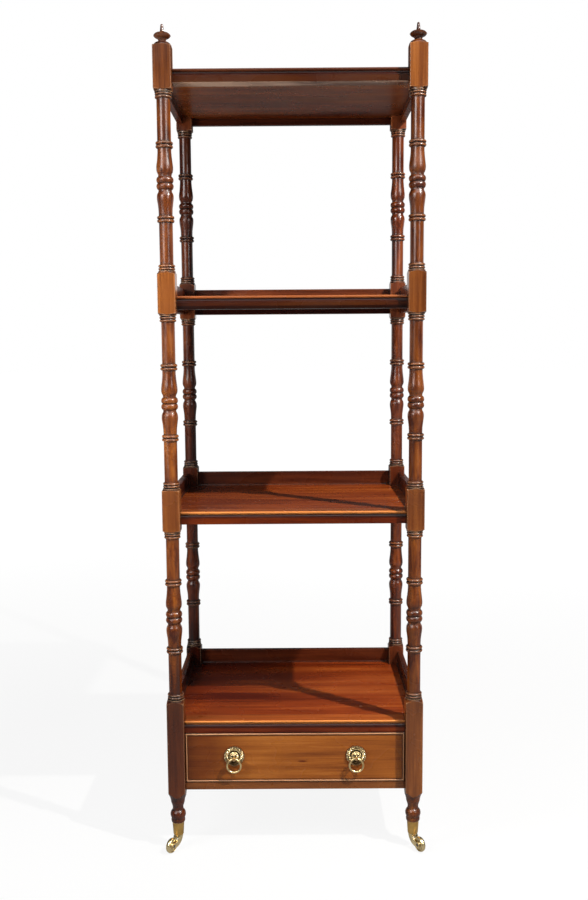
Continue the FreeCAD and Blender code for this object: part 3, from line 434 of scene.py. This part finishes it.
def tarnished_and_shaded(g, metal, middle_x):
    """Tarnish in the flutes of the mask at middle_x, and painted shade on its chin beneath the muzzle."""
    at = g.axes()
    across, above = g.math("SUBTRACT", at["X"], middle_x), g.math("SUBTRACT", at["Z"], PULL_Z)
    radius = g.math("SQRT", g.math("ADD", g.math("POWER", across, 2.0), g.math("POWER", above, 2.0)))
    wave = g.math("COSINE", g.math("MULTIPLY", g.math("ARCTAN2", across, above), PETALS))
    groove = g.math("MULTIPLY", g.remap(wave, 0.2, -0.6, 0.0, 0.85), g.remap(radius, 0.0128, 0.0142))
    metal = g.mix(groove, metal, TARNISH_AND_SHADE)
    # painted shade beneath the muzzle
    chin = g.patch((middle_x, FRONT, PULL_Z - 0.0125), (0.0125, 0.03, 0.0105), 0.9)
    return g.mix(chin, metal, TARNISH_AND_SHADE)


def brass(name, bright, worn, reach, gloss, mask_x=None):
    """Aged brass: bright with worn clouds, brown in hollows about as large as reach, finely scratched.

    A mask has its middle at mask_x."""
    g = Graph(name)
    cloud = g.noise(70, 4, 0.6)
    open_air = g.remap(g.crevices(reach), 0.45, 0.93)
    metal = g.mix(g.remap(cloud, 0.42, 0.70, 0.0, 0.55), bright, worn)
    if mask_x is not None:
        metal = tarnished_and_shaded(g, metal, mask_x)
    metal = g.mix(open_air, BRASS_GRIME, metal)
    scratch = g.noise((2200, 260, 2200), 2)
    rough = g.math("ADD", g.remap(cloud, 0.3, 0.7, gloss, gloss + 0.16), g.remap(open_air, 0, 1, 0.25, 0.0))
    return g.finish(Base_Color=metal, Metallic=1.0, Roughness=rough,
                    Normal=g.bump(g.math("ADD", scratch, cloud), 0.00006, 0.5))


def mask_brass(side, sign):
    return brass("brass_mask_" + side, srgb(248, 224, 172), srgb(176, 142, 88), 0.003, 0.2, sign * PULL_X)


def steel(name):
    """Dull steel with rusty clouds."""
    g = Graph(name)
    rust = g.remap(g.noise(180, 4, 0.65), 0.48, 0.70)
    metal = g.mix(rust, srgb(128, 124, 118), srgb(82, 58, 40))
    return g.finish(Base_Color=metal, Metallic=0.9, Roughness=g.remap(rust, 0, 1, 0.35, 0.65),
                    Normal=g.bump(rust, 0.0001, 0.4))


def finishes():
    """Materials by the beginning of the names of the nodes that they are for."""
    made = {"post_" + corner: post_wood(corner, *settings) for corner, settings in POSTS.items()}
    for tier in TIER_TONES:
        made["shelf_" + tier] = shelf_wood(tier)
        made["front_rail_" + tier] = edge_wood(tier)
    made["bottom_rail"] = bottom_rail_wood()
    made["drawer_cock_beads"] = cock_bead_wood()
    made["drawer_front"] = drawer_front_wood()
    made["gallery_back"] = made["case_back"] = back_wood()
    made["gallery_back_upper"] = pale_back_wood()
    made["gallery_left"] = made["case_left"] = side_wood("left", -1, 1.0)
    made["gallery_right"] = made["case_right"] = side_wood("right", 1, 0.7)
    made["finial"] = finial_wood()
    across, lengthwise = lining_wood("lining_across", "X"), lining_wood("lining_lengthwise", "Y")
    made["drawer_back"] = made["drawer_bottom"] = made["drawer_stops"] = across
    made["drawer_side"] = made["drawer_runner"] = made["drawer_kickers"] = lengthwise
    made["pull_ring"] = brass("brass_rings", srgb(238, 212, 156), srgb(160, 130, 80), 0.0024, 0.22)
    for side, sign in SIDES:
        made["pull_mask_" + side] = mask_brass(side, sign)
    made["castor_cup"] = brass("brass_castors", srgb(214, 172, 100), srgb(146, 108, 54), 0.004, 0.32)
    rolling = brass("brass_wheels", srgb(240, 218, 166), srgb(176, 144, 92), 0.004, 0.26)
    made["castor_fork"] = made["castor_wheel"] = rolling
    made["castor_axle"] = made["pull_fixings"] = steel("steel")
    return made


FINISHES = finishes()


def material_of(node):
    """The finish with the longest name that the node's name begins with."""
    return FINISHES[max((start for start in FINISHES if node.startswith(start)), key=len)]


def paint(thing, material):
    thing.data.materials.clear()
    thing.data.materials.append(material)


# ---------------------------------------------------------------- pieces
def body_name(node):
    return next(name for name, nodes in frame["record"]["behaviour"]["bodies"].items() if node in nodes)


def stand_in(thing, node):
    """Put a Blender piece in the place of a CAD node."""
    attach(thing, body_name(node))
    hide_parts(node)
    paint(thing, material_of(node))


def linked(name, mesh):
    thing = bpy.data.objects.new(name, mesh)
    scene.collection.objects.link(thing)
    return thing


def eased(node, width):
    """Copy of a board or a moulding whose sharp edges are softened by wear."""
    mesh = frame["nodes"][node].data.copy()
    shape = bmesh.new()
    shape.from_mesh(mesh)
    bmesh.ops.remove_doubles(shape, verts=shape.verts, dist=1e-6)
    bmesh.ops.dissolve_limit(shape, angle_limit=math.radians(0.5), verts=shape.verts, edges=shape.edges)
    sharp = [edge for edge in shape.edges
             if len(edge.link_faces) == 2 and edge.calc_face_angle() > math.radians(35)]
    bmesh.ops.bevel(shape, geom=sharp, offset=width, segments=3, affect="EDGES", profile=0.5,
                    clamp_overlap=True)
    board = bpy.data.meshes.new(node + "_eased")
    shape.to_mesh(board)
    shape.free()
    bpy.data.meshes.remove(mesh)
    board.shade_smooth()
    board.set_sharp_from_angle(angle=math.radians(40))
    thing = linked(node + "_eased", board)
    level = thing.modifiers.new("level", "WEIGHTED_NORMAL")
    level.keep_sharp = True
    stand_in(thing, node)


def step(low, high, value):
    """Smooth step from 0 at low to 1 at high."""
    t = np.clip((value - low) / (high - low), 0, 1)
    return t * t * (3 - 2 * t)


def lion_relief(u, w):
    """Height of the lion mask, u to the right of its middle and w above it, all in millimetres."""
    def lump(at_u, at_w, wide, high):
        return np.exp(-((u - at_u) / wide) ** 2 - ((w - at_w) / high) ** 2)

    r = np.hypot(u, w)
    turn = np.arctan2(u, w)

    # plate with a raised, fluted rim, beads inside it and a trough round the head
    plate = 2.2 + 2.3 * np.exp(-((r - 14.2) / 2.5) ** 2)
    plate -= 0.9 * (1 - np.cos(PETALS * turn)) * step(13.0, 14.0, r)
    plate += 1.1 * np.exp(-((r - 12.1) / 0.7) ** 2) * (0.45 + 0.55 * np.cos(PETALS * turn))
    trough = 1.5 * np.exp(-((r - 10.4) / 0.65) ** 2) * (0.3 + 0.7 * step(-3, 4, w))
    plate -= trough

    # domed head with a mane; on each side a brow, an eye, a cheek and an ear
    head = 2.6 + 4.4 * np.sqrt(np.clip(1 - (u / 9.6) ** 2 - ((w - 0.2) / 9.9) ** 2, 0, 1)) - trough
    head += 0.6 * np.cos(22 * turn + 1.2 * np.sin(3 * turn)) * step(6.2, 7.6, r) * step(-7.5, -3.0, w)
    for side in (-1, 1):
        arc = np.abs(np.hypot(u - 3.4 * side, w - 1.6) - 3.0)
        head += 1.9 * np.exp(-(arc / 0.8) ** 2) * step(1.6, 3.0, w)
        head -= 2.8 * lump(3.4 * side, 1.3, 1.5, 1.3)
        head += 1.2 * lump(3.4 * side, 1.3, 0.7, 0.55)
        head += 0.8 * lump(6.1 * side, -1.8, 1.6, 2.4)
        head += 1.3 * lump(6.8 * side, 6.2, 1.35, 1.35) - 0.8 * lump(6.8 * side, 6.1, 0.6, 0.6)

    # crease of the forehead, bridge of the nose, then the muzzle with cleft, nose, nostrils, mouth and chin
    head -= 0.4 * np.exp(-(u / 0.45) ** 2) * step(2.5, 4.0, w) * step(8.0, 6.0, w)
    head += 1.5 * np.exp(-(u / 1.3) ** 2) * step(4.4, 1.0, w)
    muzzle = 8.0 * (1 - np.clip((u / 4.8) ** 2 + ((w + 3.0) / 4.9) ** 2, 0, 1) ** 1.7)
    muzzle -= 0.9 * np.exp(-(u / 0.45) ** 2) * step(-6.8, -6.0, w) * step(-1.4, -2.2, w)
    muzzle += 0.55 * lump(0, -0.7, 1.7, 0.8)
    for side in (-1, 1):
        muzzle -= 0.9 * lump(0.9 * side, -1.2, 0.45, 0.35)
    head += muzzle - 1.1 * lump(0, -7.1, 3.4, 0.4) + 0.9 * lump(0, -8.2, 2.2, 0.7)
    return np.maximum(plate, head)


def lion_mask(side, x):
    """Cast lion mask with a fluted rim and a flat back; the ring passes through its muzzle."""
    turns, rings = 288, 78
    petal_depth = 0.6
    angle = np.arange(turns) * 2 * math.pi / turns
    edge = MASK_R * 1000 - petal_depth + petal_depth * np.cos(PETALS * angle)
    u = np.outer(np.arange(1, rings + 1) / rings, edge * np.sin(angle))
    w = np.outer(np.arange(1, rings + 1) / rings, edge * np.cos(angle))
    height = lion_relief(u, w)
    front = np.stack([x + u / 1000, FRONT - height / 1000, PULL_Z + w / 1000], -1).reshape(-1, 3)
    back = front[-turns:].copy()
    back[:, 1] = FRONT
    tip = (x, FRONT - float(lion_relief(np.zeros(1), np.zeros(1))[0]) / 1000, PULL_Z)
    middle, rear = rings * turns, (rings + 1) * turns
    points = [*front.tolist(), *back.tolist(), tip, (x, FRONT, PULL_Z)]
    faces = []
    for i in range(turns):
        j = (i + 1) % turns
        faces.append((rear, j, i))
        faces.append((rear + 1, middle + i, middle + j))
        for k in range(rings):
            faces.append((k * turns + i, k * turns + j, (k + 1) * turns + j, (k + 1) * turns + i))
    mesh = bpy.data.meshes.new("mask_" + side)
    mesh.from_pydata(points, [], faces)
    mask = linked("lion_mask_" + side, mesh)
    bored(mask, x)
    mask.data.shade_smooth()
    mask.data.set_sharp_from_angle(angle=math.radians(60))
    stand_in(mask, "pull_mask_" + side)


def bored(mask, x):
    """Cut the hole that the ring hangs in through the muzzle."""
    place = Matrix.Translation((x, HINGE_Y, HINGE_Z)) @ Matrix.Rotation(math.pi / 2, 4, "Y")
    drill = bmesh.new()
    bmesh.ops.create_cone(drill, cap_ends=True, segments=48, radius1=RING_HOLE_R, radius2=RING_HOLE_R,
                          depth=0.014, matrix=place)
    mesh = bpy.data.meshes.new("drill")
    drill.to_mesh(mesh)
    drill.free()
    tool = linked("drill", mesh)
    cut = mask.modifiers.new("bore", "BOOLEAN")
    cut.operation, cut.solver, cut.object = "DIFFERENCE", "EXACT", tool
    evaluated = mask.evaluated_get(bpy.context.evaluated_depsgraph_get())
    result = bpy.data.meshes.new_from_object(evaluated)
    mask.modifiers.clear()
    mask.data = result
    bpy.data.objects.remove(tool)


for node, thing in frame["nodes"].items():
    paint(thing, material_of(node))
for node in frame["nodes"]:
    if node.startswith(("shelf", "gallery", "case", "bottom_rail")):
        eased(node, BOARD_EASE)
    elif node.startswith(("front_rail", "drawer_front", "drawer_back", "drawer_side", "drawer_bottom")):
        eased(node, FINE_EASE)
for side, sign in SIDES:
    lion_mask(side, sign * PULL_X)


# ---------------------------------------------------------------- studio
def studio_floor():
    """Pale floor that the camera sees as nearly white, with the object's shadow still on it.

    Mirrors see it pale near the object and darker further away, and to other rays it is a grey floor."""
    mesh = bpy.data.meshes.new("floor")
    reach = 30.0
    corners = [(-reach, -reach, 0), (reach, -reach, 0), (reach, reach, 0), (-reach, reach, 0)]
    mesh.from_pydata(corners, [], [(0, 1, 2, 3)])
    floor = linked("floor", mesh)
    g = Graph("floor")
    path = g.node("ShaderNodeLightPath").outputs
    mirrors = g.math("MAXIMUM", path["Is Glossy Ray"], path["Is Transmission Ray"])
    distance = g.node("ShaderNodeVectorMath", {0: g.place}, operation="LENGTH").outputs["Value"]
    sheet = g.remap(distance, 1.2, 2.6, 0.3, 0.12)
    seen = g.math("MAXIMUM", path["Is Camera Ray"], g.math("MULTIPLY", mirrors, sheet))
    paper = g.mix(path["Is Camera Ray"], (0.18, 0.18, 0.18, 1), (0.6, 0.6, 0.6, 1))
    diffuse = g.node("ShaderNodeBsdfDiffuse", {"Color": paper}).outputs[0]
    glow = g.node("ShaderNodeEmission", {"Color": (1, 1, 1, 1), "Strength": 1.02}).outputs[0]
    share = g.math("MULTIPLY", seen, g.remap(distance, 0.8, 3.0, 0.88, 1.0))
    mixed = g.node("ShaderNodeMixShader", {0: share, 1: diffuse, 2: glow}).outputs[0]
    g.node("ShaderNodeOutputMaterial", {"Surface": mixed})
    paint(floor, g.material)


def studio_world():
    """Dim room; the camera sees white all round, and mirrors see a low white backdrop behind the object."""
    world = bpy.data.worlds.new("studio")
    scene.world = world
    world.use_nodes = True
    nodes, links = world.node_tree.nodes, world.node_tree.links
    nodes.clear()

    def node(kind, operation, *values):
        made = nodes.new(kind)
        if operation:
            made.operation = operation
        for socket, value in zip(made.inputs, values):
            if isinstance(value, bpy.types.NodeSocket):
                links.new(value, socket)
            else:
                socket.default_value = value
        return made.outputs

    path = node("ShaderNodeLightPath", "")
    direction = node("ShaderNodeSeparateXYZ", "", node("ShaderNodeTexCoord", "")["Generated"])
    behind = node("ShaderNodeMath", "MULTIPLY", direction["Y"], 4.0)
    behind = node("ShaderNodeClamp", "", behind[0], 0.0, 1.0)[0]
    low = node("ShaderNodeMapRange", "", direction["Z"], 0.05, 0.14, 1.0, 0.0)[0]
    backdrop = node("ShaderNodeMath", "MULTIPLY", behind, low)[0]
    mirrors = node("ShaderNodeMath", "MAXIMUM", path["Is Glossy Ray"], path["Is Transmission Ray"])[0]
    mirrored = node("ShaderNodeMath", "MULTIPLY", mirrors, backdrop)[0]
    white_share = node("ShaderNodeMath", "MAXIMUM", path["Is Camera Ray"], mirrored)[0]
    dim = node("ShaderNodeBackground", "", (0.95, 0.97, 1.0, 1), 0.05)[0]
    white = node("ShaderNodeBackground", "", (1, 1, 1, 1), 1.0)[0]
    mixed = node("ShaderNodeMixShader", "", white_share, dim, white)[0]
    links.new(mixed, nodes.new("ShaderNodeOutputWorld").inputs["Surface"])


# Soft lamps: name, place, target, width, height, watts. The fills light the surfaces but leave no highlight
# on the polish, and the sheens leave only a highlight.
FILLS = (("left_fill", (-0.8, -0.6, 0.95), (-0.24, -0.18, 0.95), 0.4, 0.8, 11),
         ("right_fill", (0.8, -0.65, 0.6), (0.24, -0.18, 0.6), 0.4, 0.8, 3.6),
         ("front_fill", (0.2, -2.6, 0.7), (0, 0, 0.8), 1.5, 1.5, 4),
         ("back_fill", (0.5, 2.6, 0.7), (0, 0, 0.7), 1.5, 1.0, 22))
SHEENS = (("left_sheen", (-1.78, -2.35, 2.05), (0, 0, 1.2), 1.1, 1.2, 58),
          ("right_sheen", (1.9, -2.2, 2.05), (0, 0, 1.2), 0.5, 1.2, 28),
          ("top_sheen", (0, -1.9, 3.3), (0, 0, 1.0), 2.2, 2.0, 60))


def softbox(name, place, target, width, height, power):
    """Rectangular lamp that the camera doesn't see."""
    lamp = bpy.data.lights.new(name, "AREA")
    lamp.shape, lamp.size, lamp.size_y, lamp.energy = "RECTANGLE", width, height, power
    thing = linked(name, lamp)
    thing.location = place
    thing.rotation_euler = (Vector(target) - Vector(place)).to_track_quat("-Z", "Y").to_euler()
    thing.visible_camera = False
    return thing


def studio_lights():
    """High key lamp from the front right, with the fills and the sheens."""
    key = bpy.data.lights.new("key", "POINT")
    key.energy, key.shadow_soft_size, key.color = 420, 0.025, (1.0, 0.97, 0.92)
    linked("key", key).location = (1.5, -1.15, 2.6)
    for fill in FILLS:
        softbox(*fill).visible_glossy = False
    for sheen in SHEENS:
        softbox(*sheen).visible_diffuse = False


def photograph_camera():
    """Camera of the 588 x 900 photograph. The sensor's width is along the longer side, the height."""
    focal_pixels, pixels_high = 962.1, 900
    place = (0.0066, -1.9248, 0.9629)
    turn, tilt, roll = (math.radians(angle) for angle in (0.1553, -6.3215, -0.39))
    forward = Vector((-math.sin(turn) * math.cos(tilt), math.cos(turn) * math.cos(tilt), math.sin(tilt)))
    level = forward.cross(Vector((0, 0, 1))).normalized()
    right = math.cos(roll) * level + math.sin(roll) * level.cross(forward)
    up = right.cross(forward)
    data = bpy.data.cameras.new("camera")
    data.sensor_width = 36.0
    data.lens = focal_pixels * data.sensor_width / pixels_high
    camera = linked("camera", data)
    facing = Matrix((right, up, -forward)).transposed().to_4x4()
    camera.matrix_world = Matrix.Translation(place) @ facing
    scene.camera = camera


studio_floor()
studio_world()
studio_lights()
photograph_camera()
scene.view_settings.view_transform = "Standard"

bpy.context.view_layer.update()
